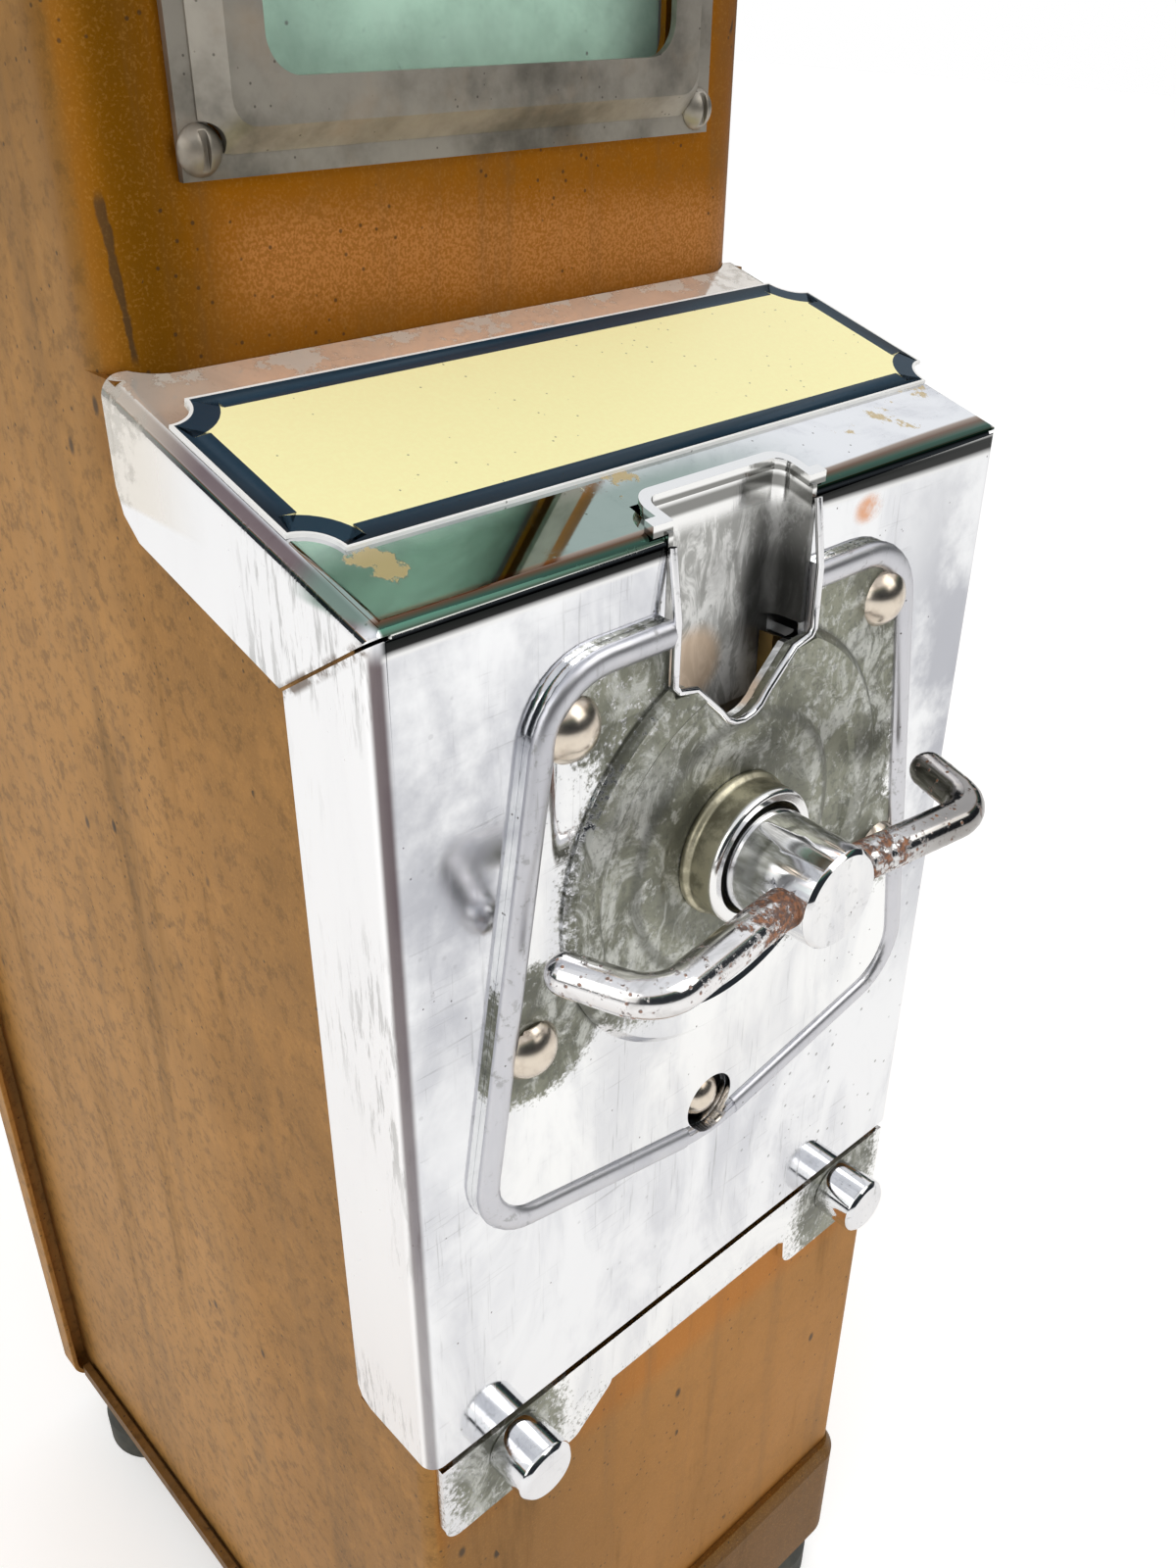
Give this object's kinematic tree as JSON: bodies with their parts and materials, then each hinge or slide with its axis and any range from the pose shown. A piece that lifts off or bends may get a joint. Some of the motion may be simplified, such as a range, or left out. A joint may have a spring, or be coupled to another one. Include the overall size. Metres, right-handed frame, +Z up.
{
  "type": "stamp vending machine",
  "caption": "Counter-top coin-operated stamp vending machine: tall steel cabinet, stepped front, T-handle, sign window, coin scoop, delivery slot and lockable rear door.",
  "frame": {"origin": "on the counter, under the middle of the whole object's box", "axes": "+X to the right seen from the front, +Y from the front to the back, +Z up"},
  "size_m": [0.1178, 0.184, 0.4142],
  "materials": {
    "body_paint": "metallic bronze enamel, worn",
    "base_paint": "dark bronze enamel",
    "cover_chrome": "chrome plate, scratched",
    "worn_plate": "tarnished plate",
    "bright_chrome": "polished",
    "warm_nickel": "worn nickel",
    "scoop_steel": "scratched",
    "label_enamel": "printed enamel",
    "bezel_steel": "tarnished",
    "zinc_steel": "zinc plated",
    "shaft_steel": "ground",
    "glass": "clear",
    "green_card": "matt, faded",
    "cash_tin": "satin",
    "brass": "satin",
    "cast_iron": "machined",
    "foot_rubber": "matt"
  },
  "bodies": {
    "cabinet": {"cabinet_shell": "body_paint", "front_panel": "body_paint", "top_cap": "body_paint", "base_pan": "base_paint", "feet": "foot_rubber", "foot_screws": "zinc_steel", "coin_cover": "cover_chrome", "face_plate": "worn_plate", "dial_boss": "worn_plate", "face_rivets": "warm_nickel", "hub_collar": "bright_chrome", "coin_scoop": "scoop_steel", "instruction_plate": "label_enamel", "delivery_strip": "worn_plate", "delivery_posts": "bright_chrome", "face_screw": "warm_nickel", "window_bezel": "bezel_steel", "bezel_screws": "bezel_steel", "bezel_nuts": "zinc_steel", "window_glass": "glass", "display_card": "green_card", "card_backing": "zinc_steel", "mech_front_plate": "zinc_steel", "mech_rear_plate": "zinc_steel", "frame_spacers": "zinc_steel", "plate_studs": "zinc_steel", "guide_rods": "shaft_steel", "coin_race": "zinc_steel", "coin_chute": "zinc_steel", "cash_box": "cash_tin", "packet_chute": "zinc_steel", "magazine": "zinc_steel", "magazine_floor": "zinc_steel", "magazine_straps": "zinc_steel", "hinge_leaves_cabinet": "zinc_steel", "hinge_pins": "zinc_steel", "lock_strike": "zinc_steel"},
    "handle": {"handle_hub": "bright_chrome", "handle_bar": "bright_chrome", "main_shaft": "shaft_steel", "coin_wheel": "brass", "ratchet_wheel": "brass", "drive_cam": "cast_iron", "shaft_collar": "shaft_steel"},
    "ejector": {"ejector_yoke": "cast_iron", "cam_pin": "brass"},
    "pawl": {"pawl": "brass"},
    "follower": {"follower_weight": "cast_iron"},
    "door": {"back_door": "body_paint", "hinge_leaves_door": "zinc_steel", "lock_barrel": "zinc_steel", "lock_nut": "zinc_steel"},
    "lock": {"lock_plug": "brass", "lock_cam": "zinc_steel", "cam_nut": "zinc_steel"}
  },
  "joints": [
    {"name": "handle_turn", "type": "hinge", "parent": "cabinet", "child": "handle", "pos_m": [0, -0.07028, 0.2314], "axis": [0, 1, 0], "range_deg": [0, 160]},
    {"name": "ejector_slide", "type": "slide", "parent": "cabinet", "child": "ejector", "axis": [0, -1, 0], "range_m": [0, 0.04]},
    {"name": "pawl_swing", "type": "hinge", "parent": "cabinet", "child": "pawl", "pos_m": [0.034, -0.05928, 0.2314], "axis": [0, 1, 0], "range_deg": [0, 56]},
    {"name": "follower_lift", "type": "slide", "parent": "cabinet", "child": "follower", "axis": [0, 0, 1], "range_m": [0, 0.179]},
    {"name": "door_swing", "type": "hinge", "parent": "cabinet", "child": "door", "pos_m": [0.0568, 0.08137, 0.216], "axis": [0, 0, -1], "range_deg": [0, 100]},
    {"name": "lock_turn", "type": "hinge", "parent": "door", "child": "lock", "pos_m": [-0.032, 0.08472, 0.23], "axis": [0, -1, 0], "range_deg": [0, 90]}
  ],
  "couplings": [
    {"joint": "ejector_slide", "follows": "handle_turn", "m_per_rad": 0.014324}
  ]
}
